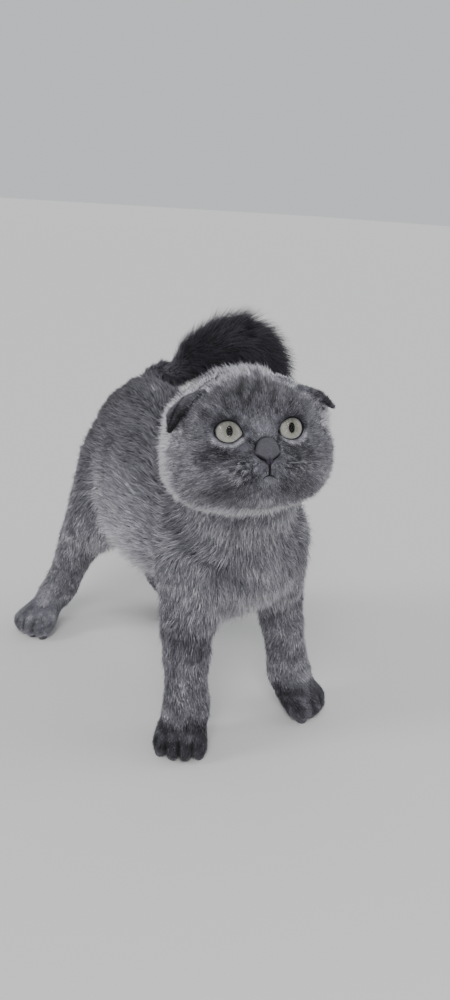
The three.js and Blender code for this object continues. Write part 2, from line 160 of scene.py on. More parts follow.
body = bmesh.new()
for name in FLESH:
    part = bmesh.new()
    part.from_mesh(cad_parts[name].data)
    bmesh.ops.remove_doubles(part, verts=part.verts, dist=1e-6)
    part.normal_update()
    for vert in part.verts:
        vert.co += vert.normal * CLOSE_CUTS * MM
    body.from_mesh(mesh_of(name + "_grown", part))
    part.free()
for i in range(len(TAIL_PATH) - 1):
    for t in np.linspace(0, 1, 6):
        bmesh.ops.create_uvsphere(
            body, u_segments=24, v_segments=12,
            radius=(TAIL_RADIUS[i] * (1 - t) + TAIL_RADIUS[i + 1] * t) * TAIL_CORE * MM,
            matrix=Matrix.Translation(place(TAIL_PATH[i] * (1 - t) + TAIL_PATH[i + 1] * t)))
skin = link("skin", mesh_of("skin", body))
body.free()
cover = skin.modifiers.new("cover", "REMESH")
cover.mode = "VOXEL"
cover.voxel_size = SKIN_CELL * MM
cover.use_smooth_shade = True
skin_mesh = settled(skin)

# Lie of the coat along each length of the body: from, to, radius, coat length, lift in degrees
LIE = [
    ((-14, -74, 178), (-4, -56, 148), 33, 8.5, 34),
    ((-4, -62, 150), (0, -62, 98), 38, 9.5, 36),
    ((0, -40, 132), (0, 10, 136), 45, 9.5, 38),
    ((0, 10, 136), (0, 36, 154), 46, 8.5, 36),
    ((0, 36, 154), (0, 64, 142), 38, 7, 32),
]
for s in (-1, 1):
    LIE += [
        ((s * 28, -54, 112), (s * 36, -60, 76), 20, 7, 32),
        ((s * 36, -60, 76), (s * 38, -70, 26), 14.5, 4.6, 28),
        ((s * 23, 60, 118), (s * 31, 68, 76), 23, 6.5, 30),
    ]
LIE += [
    ((-38, -67, 26), (-51, -79, 6), 12, 2.4, 24),
    ((38, -73, 26), (48, -93, 6), 12, 2.4, 24),
    ((-30, 74, 76), (-35, 98, 30), 14, 5, 28),
    ((33, 58, 76), (41, 78, 30), 14, 5, 28),
    ((-35, 98, 30), (-67, 92, 6), 12, 2.6, 24),
    ((41, 78, 30), (52, 47, 6), 12, 2.6, 24),
]
CHEST_LIE, TRUNK_LIE, LIMB_LIE = (0, 1), (2, 3, 4), (5, 6, 7, 8, 9, 10, 13, 14)
PAW_LIE = (11, 12, 15, 16)
TAIL_FIRST = len(LIE)
for i in range(len(TAIL_PATH) - 1):
    LIE.append((tuple(TAIL_PATH[i]), tuple(TAIL_PATH[i + 1]), TAIL_RADIUS[i] * TAIL_CORE,
                TAIL_COAT[i], 40 + 1.1 * TAIL_COAT[i]))
HEAD_LIE = len(LIE)
HEAD_COAT = (6.5, 34)     # length and lift, as above
NOSE_TIP = np.array([0, -46.0, -6.0])
EAR_LINE = ((20, -12, 24.5), (39.5, -23, 5.5))      # the fold of the left ear, in the head's frame
EAR_CUP = (33, -25, 12.5)
LID_CUT = (6.2, 5.9)      # half width and height of the eye's opening as the solids have it
LID_HALF = (6.35, 5.25)    # and as the slanted almond that the lids leave
LID_TILT = math.radians(9)
EAR_FOLD = 4.6            # how far the free edge of the ear's flap is drawn in toward its fold
RUFF_AT = (39, -9, 6)     # the longer hair behind the tip of each ear
# Where the skin lies deeper, on both sides: middle, width, extra depth
HOLLOWS = [((36, 63, 124), 20, 4.5), ((18, 57, 203), 15, 5)]


def nearest_on(points, start, end):
    start, end = np.array(start, float), np.array(end, float)
    along = end - start
    t = np.clip((points - start) @ along / (along @ along), 0, 1)
    return points - (start + t[:, None] * along)


def from_path(points, path):
    """Distance of points from a line drawn through the points of a path."""
    return np.min([norms(nearest_on(points, *pair)) for pair in zip(path, path[1:])], axis=0)


def head_away(inner):
    """Distance from the oval of the head, for points in the head's own frame."""
    return (norms((inner - HEAD_OVAL_AT) / HEAD_OVAL) - 1) * HEAD_REACH


def lie_of(points):
    """Way, length and lift of the coat at each point, and the length of body it belongs to."""
    way = np.zeros_like(points)
    length, lift, total = np.zeros((3, len(points)))
    best = np.full(len(points), 1e9)
    region = np.zeros(len(points), int)
    inner = in_head(points)
    for i in range(HEAD_LIE + 1):
        if i < HEAD_LIE:
            start, end, radius, hair, raised = LIE[i]
            away = norms(nearest_on(points, start, end)) - radius
            along = np.array(end, float) - np.array(start, float)
            flow = np.tile(along / np.linalg.norm(along), (len(points), 1))
        else:
            away = head_away(inner)
            flow = unit(inner - NOSE_TIP) @ HEAD_TURN.T
            hair, raised = HEAD_COAT
        weight = (1 / (np.maximum(away, 0) + 1.5)) ** 3
        way += flow * weight[:, None]
        length += hair * weight
        lift += raised * weight
        total += weight
        nearer = away < best
        best[nearer] = away[nearer]
        region[nearer] = i
    return way, length / total, lift / total, region


def eye_turn(s):
    return np.array(Matrix.Rotation(math.radians(EYE_OUT * s), 3, "Z"))


def by_eye(inner, s):
    """Points of the head in the frame of one eye: outward, depth, and up across its slant."""
    local = (inner - EYE_AT * [s, 1, 1]) @ eye_turn(s)
    out, up = local[:, 0] * s, local[:, 2]
    return (out * math.cos(LID_TILT) + up * math.sin(LID_TILT), local[:, 1],
            up * math.cos(LID_TILT) - out * math.sin(LID_TILT))


def from_eye(out, deep, up, s):
    """The way back: points of the head from places in the frame of one eye."""
    flat_out = out * math.cos(LID_TILT) - up * math.sin(LID_TILT)
    flat_up = out * math.sin(LID_TILT) + up * math.cos(LID_TILT)
    return np.stack([flat_out * s, deep, flat_up], -1) @ eye_turn(s).T + EYE_AT * [s, 1, 1]


def lid_rim(a):
    """Radius of the almond opening at an angle from its outer corner."""
    a = np.mod(a, math.tau)
    oval = 1 / np.hypot(np.cos(a) / LID_HALF[0], np.sin(a) / LID_HALF[1])
    inner_corner = fade(a - math.pi * 1.02, 0.22)
    outer_corner = fade(np.minimum(a, math.tau - a), 0.3)
    return oval + 0.9 * inner_corner + 0.2 * outer_corner


def face_of(points):
    """How much a point belongs to the short coat of the face, and its distance to the lids."""
    inner = in_head(points)
    front = step(-14, -30, inner[:, 1]) * step(-44, -30, inner[:, 2])
    lids = np.minimum(norms(inner - EYE_AT * [-1, 1, 1]), norms(inner - EYE_AT)) - EYE_RADIUS
    return front * step(62, 50, norms(inner)), lids


def coat_at(points):
    """What lie_of says, with the shorter and flatter coat of the face, lids and ears."""
    way, length, lift, region = lie_of(points)
    face, lids = face_of(points)
    inner = in_head(points)
    length = length * (1 - face) + (1.5 + 1.9 * step(8, 30, norms(inner - NOSE_TIP))) * face
    lift = lift * (1 - face) + 24 * face
    near_lids = step(5.5, 1.5, lids)
    near_ear = step(12, 6, from_path(folded(inner), EAR_LINE))
    length = length * (1 - 0.5 * near_lids) * (1 - 0.65 * near_ear)
    return way, length, lift, region, face, lids


def read(items, what, across, kind=np.float32):
    """One attribute of many elements of a mesh, a row for each."""
    values = np.empty(len(items) * across, kind)
    items.foreach_get(what, values)
    return values.reshape(-1, across)


def mesh_values(mesh, what):
    """The places or normals of a mesh's points, in drawing millimetres or as they are."""
    values = read(mesh.vertices, what, 3).astype(float)
    return (values - origin) / MM if what == "co" else values


def reshape(mesh, points):
    mesh.vertices.foreach_set("co", (points * MM + origin).astype(np.float32).ravel())
    mesh.update()


# The trunk, legs and tail need fewer faces under their coat than the face, ears and paws
spots = mesh_values(skin_mesh, "co")
_, _, _, region = lie_of(spots)
plain = ~np.isin(region, (*PAW_LIE, HEAD_LIE))
thin_out = skin.vertex_groups.new(name="plain")
thin_out.add([int(i) for i in np.nonzero(plain)[0]], 1.0, "REPLACE")
fewer = skin.modifiers.new("fewer", "DECIMATE")
fewer.ratio = SKIN_FACES / (2 * len(skin_mesh.polygons))
fewer.vertex_group = "plain"
skin_mesh = settled(skin)
skin.vertex_groups.clear()
count = len(skin_mesh.vertices)
spots = mesh_values(skin_mesh, "co")
edges = read(skin_mesh.edges, "vertices", 2, np.int32)
links = np.bincount(edges.ravel(), minlength=count)
_, length, lift, region, face, lids = coat_at(spots)
ears = np.zeros(count)
for name in ("ear_right", "ear_left"):
    flap = bmesh.new()
    flap.from_mesh(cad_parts[name].data)
    tree = BVHTree.FromBMesh(flap)
    low, high = [np.array(corner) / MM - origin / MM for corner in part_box(name)]
    inside = np.all((spots > low - 1.5) & (spots < high + 1.5), axis=1)
    for i in np.nonzero(inside)[0]:
        hit = tree.find_nearest(Vector(spots[i] * MM + origin))
        ears[i] = 1 - step(0.6, 1.6, hit[3] / MM)
    flap.free()
paws = np.isin(region, PAW_LIE)
tail = (region >= TAIL_FIRST) & (region < HEAD_LIE)
soft = np.where(paws, 0.06, np.where(tail, 0.3, 1.0))
soft = np.where(region == HEAD_LIE, 0.35, soft)
soft = soft * (1 - 0.6 * face) * step(1.8, 4.5, lids) * (1 - ears)
for _ in range(SMOOTH_ROUNDS):
    ends = spots[edges]
    total = np.stack([np.bincount(edges[:, 0], ends[:, 1, a], count)
                      + np.bincount(edges[:, 1], ends[:, 0, a], count) for a in range(3)], 1)
    spots += (total / links[:, None] - spots) * (0.5 * soft)[:, None]
reshape(skin_mesh, spots)
normals = mesh_values(skin_mesh, "normal")
depth = length * np.sin(np.radians(lift)) * 0.95 + CLOSE_CUTS
nose_near = norms((in_head(spots) - NOSE_MIDDLE) / NOSE_SIZE)
depth = np.where(tail, 0.0, depth) * step(0.8, 4.5, lids) * (1 - ears) * step(1.0, 1.7, nose_near)
for middle, wide, deeper in HOLLOWS:
    depth += deeper * fade(norms(folded(spots) - middle), wide)
spots = spots - normals * depth[:, None]
reshape(skin_mesh, spots)

# Toes: four on each paw, parted by soft grooves. Paws: middle, and the way they point in degrees
PAWS = [((-42, -68), -42), ((43, -81), 22), ((-55, 96), -72), ((47, 59), 20)]
TOE_PITCH = 7.6
TOE_GROOVE = 1.6


def toe_gap(points):
    """How deep a point lies in a groove between two toes, from 0 to 1."""
    groove = np.zeros(len(points))
    for (x, y), degrees in PAWS:
        a = math.radians(degrees)
        dx, dy = points[:, 0] - x, points[:, 1] - y
        across = dx * math.cos(a) + dy * math.sin(a)
        ahead = dx * math.sin(a) - dy * math.cos(a)
        for k in (-1, 0, 1):
            line = k * TOE_PITCH * (1 + 0.012 * (ahead - 10))
            close = fade(across - line, 0.9)
            groove = np.maximum(groove, close * step(3, 11, ahead) * step(19, 11, points[:, 2])
                                * step(24, 19, np.hypot(dx, dy)))
    return groove


normals = mesh_values(skin_mesh, "normal")
spots -= normals * (TOE_GROOVE * toe_gap(spots))[:, None]

# Lids: the rim of each eye's opening slides over the ball to its almond shape
inner = in_head(spots)
for s in (-1, 1):
    out, deep, up = by_eye(inner, s)
    wide = np.hypot(out, up)
    a = np.arctan2(up, out)
    cut = 1 / np.hypot(np.cos(a) / LID_CUT[0], np.sin(a) / LID_CUT[1])
    pull = step(4.5, 0.4, np.abs(wide - cut)) * (deep < 1)
    new = wide + (lid_rim(a) - cut) * pull
    new = np.minimum(new, np.hypot(wide, deep) * 0.98)
    deeper = -np.sqrt(np.maximum(wide ** 2 + deep ** 2 - new ** 2, 0))
    deep = np.where(pull > 0, deeper, deep)
    out, up = out * new / np.maximum(wide, 1e-6), up * new / np.maximum(wide, 1e-6)
    moved = from_eye(out, deep, up, s)
    inner = np.where((pull > 0)[:, None], moved, inner)

# Ears: each flap is drawn in toward its fold and stands a little proud of the head, which is
# a little flatter behind it
EAR_PROUD = 0.8
for s in (-1, 1):
    start, end = np.array(EAR_LINE) * [s, 1, 1]
    toward_face = np.array([-0.435 * s, -0.897, 0.072])
    from_line = nearest_on(inner, start, end)
    reach = norms(from_line)
    pull = step(-1, 5, from_line @ toward_face) * step(15, 8, reach)
    inner = inner - toward_face * (EAR_FOLD * pull)[:, None]
    outward = np.array([0.61 * s, -0.235, 0.758])
    inner = inner + outward * (EAR_PROUD * ears * step(15, 8, reach))[:, None]
    behind = norms(inner - np.array([31 * s, 5, 22]))
    inner = inner * (1 - 0.075 * fade(behind, 14))[:, None]
near_head = norms(inner) < 60
spots[near_head] = from_head(inner)[near_head]
reshape(skin_mesh, spots)
normals = mesh_values(skin_mesh, "normal")

# Markings: charcoal back, tail, paws and ears, a blue-grey body with faint bars, a frosted belly
# and cheeks, and the marks of the face, with painted light and shade: a painted rim light round the
# face, painted shadow under the chin, and painted shade round the nose, in the ear cups and between
# the toes. Face marks: across, up, half width, half height, amount
FACE_MARKS = [(17.5, -8.5, 9, 5.5, -0.24), (16, -23, 11, 5, -0.15), (0, 17, 17, 8, -0.11),
              (0, -20.4, 3.2, 1.5, 0.22), (0, 3, 4.5, 6, 0.05), (0, -29, 8, 4, 0.13),
              (29, -6, 6, 10, 0.06), (24, 12, 8, 6, -0.05)]
# Dark strokes on the face: from, to, half width, amount
FACE_STROKES = [((-7.8, 18), (-3.2, 26), 1.6, -0.3), ((1.1, 21), (5.2, 28.5), 1.6, -0.26),
                ((-5.9, 12.6), (-0.8, 19.5), 1.3, -0.26), ((6, 13), (10, 22), 1.4, -0.18),
                ((-14, 13), (-15.5, 23), 1.8, -0.16), ((15, 13), (17, 22), 1.8, -0.14),
                ((-8.5, 0.6), (-5.8, -2.6), 1.0, -0.32), ((8.5, 0.6), (5.8, -2.6), 1.0, -0.32)]


def cloud(points, size, layer):
    """Smooth random values from -1 to 1 that change over about the given size."""
    grid = np.random.default_rng(100 + layer).uniform(-1, 1, (24, 24, 24))
    scaled = points / size + 480.0
    cell = np.floor(scaled).astype(int)
    part = scaled - cell
    part = part * part * (3 - 2 * part)
    total = np.zeros(len(points))
    for corner in range(8):
        bit = np.array([corner & 1, corner >> 1 & 1, corner >> 2 & 1])
        weight = np.prod(np.where(bit, part, 1 - part), axis=1)
        at = (cell + bit) % 24
        total += weight * grid[at[:, 0], at[:, 1], at[:, 2]]
    return total


def face_shade(inner):
    """The markings of the head, with painted rim light and painted shade, on points in its own
    frame.
    """
    x, y, z = inner.T
    across = np.abs(x)
    front = step(-4, -18, y)
    ring = np.hypot(x, z * 1.06)
    shade = 0.03 - 0.15 * front
    top = step(8, 27, z)
    # A pale ring round the face where it turns away from the front: frosted fur and painted rim
    # light.
    frost_and_rim_light = 0.54 - 0.2 * top - 0.17 * step(-6, -24, z)
    shade += frost_and_rim_light * fade(y + 8 + 9 * top, 10 + 2 * top) * step(22, 32, ring)
    shade += 0.1 * front * step(27, 35, ring) - 0.04 * step(6, 24, y)
    for mark_x, mark_z, wide, tall, amount in FACE_MARKS:
        away = ((across - mark_x) / wide) ** 2 + ((z - mark_z) / tall) ** 2
        shade += amount * front * np.exp(-away)
    flat = np.stack([x, z, z * 0], 1)
    for start, end, wide, amount in FACE_STROKES:
        shade += amount * front * fade(from_path(flat, ((*start, 0), (*end, 0))), wide)
    # Streaks that run out from the nose, with the lie of the hair
    from_nose = np.stack([x, z - NOSE_TIP[2]], 1)
    reach = norms(from_nose)
    rays = np.column_stack([from_nose / (reach + 1)[:, None], reach * 0.035])
    shade += 0.11 * cloud(rays, 0.05, 5) * step(6, 14, reach) * step(-8, -22, y)
    pads = np.exp(-((across - 13) / 8) ** 2 - ((z + 15) / 6) ** 2)
    shade += 0.6 * front * pads * cloud(rays, 0.036, 6)
    gap = lid_gap(inner)
    below = 0.15 + 0.85 * step(4, -1, z)
    shade += 0.34 * below * fade(gap - 1.3, 0.9) * step(-2, -12, y)
    shade -= 0.2 * (1 - below) * fade(gap - 1.0, 1.2) * step(-2, -12, y)
    # Painted shade in the crease round the nose leather.
    nose_ring = norms((inner - NOSE_MIDDLE) / NOSE_SIZE)
    shade -= 0.07 * fade(nose_ring - 1.05, 0.09)
    # Darker near the fold of each ear, and painted shade in the cup under its flap.
    ear = from_path(folded(inner), EAR_LINE)
    cup = norms(folded(inner) - EAR_CUP)
    return shade - 0.1 * step(6, 3, ear) - 0.1 * step(5, 2, cup)


def lid_gap(inner):
    """Distance from the rim of the nearer eye's opening, seen along the eye's own axis."""
    nearest = np.full(len(inner), 99.0)
    for s in (-1, 1):
        out, deep, up = by_eye(inner, s)
        gap = np.hypot(out, up) - lid_rim(np.arctan2(up, out))
        nearest = np.minimum(nearest, np.where(deep < 2, gap, 99.0))
    return nearest


# Marks of the trunk and legs, the same on both sides: through these points, half width, amount
BODY_STROKES = [
    ([(29, 45, 134), (32, 41, 118), (29, 38, 104), (24, 26, 96), (23, 10, 93), (24, -6, 94)],
     5, 0.17),
    ([(33, -42, 142), (36, -56, 136), (34, -67, 129), (29, -74, 124), (22, -79, 118),
      (8, -84, 109)], 2.6, -0.19),
    ([(26, -60, 146), (26, -72, 138), (14, -82, 134)], 2.4, -0.11),
    ([(0, -82, 106), (4, -80, 92)], 16, 0.1), ([(36, -58, 118), (38, -62, 104)], 12, 0.08),
    ([(30, 60, 118), (33, 66, 92)], 14, 0.08), ([(45, -58, 90), (30, -72, 88)], 2.2, -0.12),
    ([(48, -62, 80), (33, -76, 78)], 2.2, -0.12), ([(22, 62, 150), (38, 62, 120)], 15, -0.1),
    ([(22, 60, 156), (20, 28, 168), (26, 0, 158)], 14, -0.08),
    ([(46, -66, 82), (36, -74, 70)], 8, -0.1)]


def shade_of(points, surface, on_ear):
    """Lightness of the coat, from charcoal at 0 to frost at 1, with painted light and shade in it.
    """
    inner = in_head(points)
    x, y, z = points.T
    _, _, _, belongs = lie_of(points)
    head = step(60, 50, norms(inner)) * (belongs == HEAD_LIE)
    body = 1 - head
    warp = cloud(points, 14, 1)
    shade = (0.48 + 0.06 * cloud(points, 7, 2) + 0.1 * cloud(points, 2.4, 3)
             + 0.05 * cloud(points, 1.3, 9))
    for path, wide, amount in BODY_STROKES:
        shade += body * amount * fade(from_path(folded(points), path), wide)
    # Painted shadow under the chin, on the neck just below the head.
    shade -= body * 0.15 * step(8, 1, head_away(inner)) * step(10, -20, y)
    shade += body * 0.17 * step(0.25, -0.7, surface[:, 2]) * step(70, 85, z)
    back = fade(x, 30) * step(0.0, 0.7, surface[:, 2]) * step(-62, -10, y) * step(120, 140, z)
    turned_back = step(0.1, 0.9, surface[:, 1]) * step(40, 70, y)
    shade -= body * (0.25 * back * step(90, 56, y) + 0.04 * turned_back)
    shade += body * 0.04 * np.sin(z * 1.15 + 3.2 * warp) * step(66, 80, z) * step(10, -20, y)
    legs = step(100, 84, z) * body
    shade += legs * (0.035 * np.cos((z - 83) * 0.56 + 1.2 * warp) + 0.07 * cloud(points, 6, 7)
                     - 0.02 + 0.07 * step(0, 30, y) + 0.08 * step(10, 40, x) * step(0, -30, y))
    feet = step(32, 16, z + 7 * cloud(points, 5, 12)) * np.where(y < 0, 1.0, 0.3)
    edge = step(6.5, 0.5, z)
    # Darker feet, paler near the floor, and painted shade in the grooves between the toes.
    shade += feet * (-0.33 + 0.12 * cloud(points, 3.2, 8)) + 0.3 * edge - 0.2 * toe_gap(points)
    shade += head * face_shade(inner)
    from_root = norms(points - TAIL_PATH[1])
    shade -= 0.1 * step(62, 8, from_root) * step(112, 150, z) * body
    tail = step(18, 9, from_path(points, TAIL_PATH)) * step(164, 180, z)
    dark = 0.25 - 0.24 * step(22, 50, from_root) + 0.04 * cloud(points, 5, 4)
    shade = shade * (1 - tail) + dark * tail
    return shade - 0.47 * on_ear


def add_value(mesh, name, values):
    layer = mesh.attributes.new(name, "FLOAT", "POINT")
    layer.data.foreach_set("value", np.asarray(values, np.float32))


add_value(skin_mesh, "shade", shade_of(spots, normals, ears))
add_value(skin_mesh, "tip", np.full(count, 0.15))


def feed(tree, socket, value):
    """Set a socket of a shader node, or wire it where the value is another node's socket."""
    if hasattr(value, "links"):
        tree.links.new(value, socket)
    else:
        socket.default_value = value


def fill(tree, node, **values):
    """Feed the sockets of a node by their names."""
    for label, value in values.items():
        feed(tree, node.inputs[label.replace("_", " ")], value)
    return node


def add(tree, kind, **values):
    return fill(tree, tree.nodes.new("ShaderNode" + kind), **values)


def maths(tree, operation, first, second, clamp=False):
    node = tree.nodes.new("ShaderNodeMath")
    node.operation = operation
    node.use_clamp = clamp
    for socket, value in zip(node.inputs, (first, second)):
        feed(tree, socket, value)
    return node.outputs[0]


def ramp(tree, level, stops):
    """The colour for a level, from stops of level and colour."""
    node = add(tree, "ValToRGB", Fac=level)
    band = node.color_ramp.elements
    band[0].position, band[1].position = stops[0][0], stops[-1][0]
    for position, _ in stops[1:-1]:
        band.new(position)
    for element, (_, colour) in zip(band, stops):
        element.color = (*colour, 1)
    return node.outputs["Color"]


def carried(tree, name):
    """A value that the mesh carries at its points."""
    node = tree.nodes.new("ShaderNodeAttribute")
    node.attribute_name = name
    return node.outputs["Fac"]


def on_object(tree):
    return add(tree, "TexCoord").outputs["Object"]


def bump(tree, height, strength, distance):
    """The normal of a grained surface, its grain as high as the distance in millimetres."""
    return add(tree, "Bump", Strength=strength, Distance=distance * MM,
               Height=height).outputs["Normal"]


SHADES = [(0.0, (0.006, 0.006, 0.0075)), (0.25, (0.0315, 0.031, 0.038)),
          (0.5, (0.124, 0.122, 0.145)), (0.75, (0.285, 0.28, 0.315)), (1.0, (0.72, 0.71, 0.75))]
tint = bpy.data.node_groups.new("Coat tint", "ShaderNodeTree")
for socket, default in (("Grain scale", 400.0), ("Frost", 0.3)):
    made = tint.interface.new_socket(socket, in_out="INPUT", socket_type="NodeSocketFloat")
    made.default_value = default
for socket, kind in (("Colour", "Color"), ("Roughness", "Float"), ("Grain", "Float")):
    tint.interface.new_socket(socket, in_out="OUTPUT", socket_type="NodeSocket" + kind)
given = tint.nodes.new("NodeGroupInput")
result = tint.nodes.new("NodeGroupOutput")
grain = add(tint, "TexNoise", Vector=on_object(tint), Scale=given.outputs["Grain scale"],
            Detail=4.0).outputs["Fac"]
patches = add(tint, "TexNoise", Vector=on_object(tint), Scale=60.0, Detail=3.0).outputs["Fac"]
fine = maths(tint, "MULTIPLY", maths(tint, "SUBTRACT", grain, 0.5), 0.3)
broad = maths(tint, "MULTIPLY", maths(tint, "SUBTRACT", patches, 0.5), 0.16)
frosted = maths(tint, "MULTIPLY", carried(tint, "tip"), given.outputs["Frost"])
level = maths(tint, "ADD", maths(tint, "ADD", carried(tint, "shade"), frosted),
              maths(tint, "ADD", fine, broad), clamp=True)
fill(tint, result, Colour=ramp(tint, level, SHADES), Grain=grain,
     Roughness=maths(tint, "ADD", maths(tint, "MULTIPLY", grain, 0.2), 0.58))


def material(name):
    made = bpy.data.materials.new(name)
    made.use_nodes = True
    tree = made.node_tree
    return made, tree, tree.nodes["Principled BSDF"]


def coat_material(name, grain_scale, frost, sheen, grain_height):
    made, tree, shader = material(name)
    group = tree.nodes.new("ShaderNodeGroup")
    group.node_tree = tint
    fill(tree, group, Grain_scale=grain_scale, Frost=frost)
    fill(tree, shader, Base_Color=group.outputs["Colour"], Roughness=group.outputs["Roughness"],
         Sheen_Weight=sheen, Sheen_Roughness=0.5, Specular_IOR_Level=0.12)
    if grain_height:
        fill(tree, shader, Normal=bump(tree, group.outputs["Grain"], 0.4, grain_height))
    return made


def smooth(mesh):
    mesh.polygons.foreach_set("use_smooth", np.ones(len(mesh.polygons), bool))


def finished(name, shape, finish):
    """A new piece from a mesh or a bmesh: shaded smooth, in one finish."""
    mesh = mesh_of(name, shape) if isinstance(shape, bmesh.types.BMesh) else shape
    mesh.materials.clear()
    mesh.materials.append(finish)
    smooth(mesh)
    return link(name, mesh)


skin_mesh.materials.clear()
skin_mesh.materials.append(coat_material("short undercoat", 700.0, 0.3, 0.05, 0.6))
smooth(skin_mesh)
bpy.context.view_layer.objects.active = skin
skin.select_set(True)
bpy.ops.object.mode_set(mode="EDIT")
bpy.ops.mesh.select_all(action="SELECT")
bpy.ops.uv.smart_project(angle_limit=math.radians(66), island_margin=0.001)
bpy.ops.object.mode_set(mode="OBJECT")
skin_mesh = skin.data
skin_mesh.uv_layers.active.name = "OFBake"
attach(skin, "root")
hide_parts(*FLESH, *TAIL)

# Coat: dense plush hair standing a little off the body, in many small pointed tufts of solid mesh.
# Each tuft is rooted in the skin, lies along the lie of the coat and carries the skin's colour.
draw = np.random.default_rng(7)
skin_mesh.calc_loop_triangles()
tri_count = len(skin_mesh.loop_triangles)
tri_verts = read(skin_mesh.loop_triangles, "vertices", 3, np.int32)
tri_loops = read(skin_mesh.loop_triangles, "loops", 3, np.int32)
loop_uv = read(skin_mesh.uv_layers["OFBake"].data, "uv", 2)
corners = spots[tri_verts]
tri_area = 0.5 * norms(np.cross(corners[:, 1] - corners[:, 0], corners[:, 2] - corners[:, 0]))
tri_middle = corners.mean(axis=1)
tri_ear = ears[tri_verts].mean(axis=1) > 0.5
_, _, _, tri_region, tri_face, _ = coat_at(tri_middle)
tri_inner = in_head(tri_middle)
bare_lids = lid_gap(tri_inner) < 0.15
nose_away = norms((tri_inner - NOSE_MIDDLE) / NOSE_SIZE)
low_nose = ((np.abs(tri_inner[:, 0]) < 1.3 * (tri_inner[:, 2] + 13.5))
            & (tri_inner[:, 2] < -9) & (tri_inner[:, 1] < -35))
growing = ~((bare_lids | low_nose) & (tri_region == HEAD_LIE)) & (nose_away > 1.0)


def joined(name, points, faces, uv, values):
    """One mesh from many small closed shapes."""
    mesh = bpy.data.meshes.new(name)
    mesh.vertices.add(len(points))
    mesh.vertices.foreach_set("co", (points * MM + origin).astype(np.float32).ravel())
    mesh.loops.add(len(faces) * 3)
    mesh.loops.foreach_set("vertex_index", faces.astype(np.int32).ravel())
    mesh.polygons.add(len(faces))
    mesh.polygons.foreach_set("loop_start", np.arange(0, len(faces) * 3, 3, dtype=np.int32))
    mesh.update(calc_edges=True)
    layer = mesh.uv_layers.new(name="OFBake")
    layer.data.foreach_set("uv", uv[faces.ravel()].astype(np.float32).ravel())
    for label, value in values.items():
        add_value(mesh, label, value)
    return mesh


LONG_HAIR = 19.0              # past this length a hair grows less than half as fast


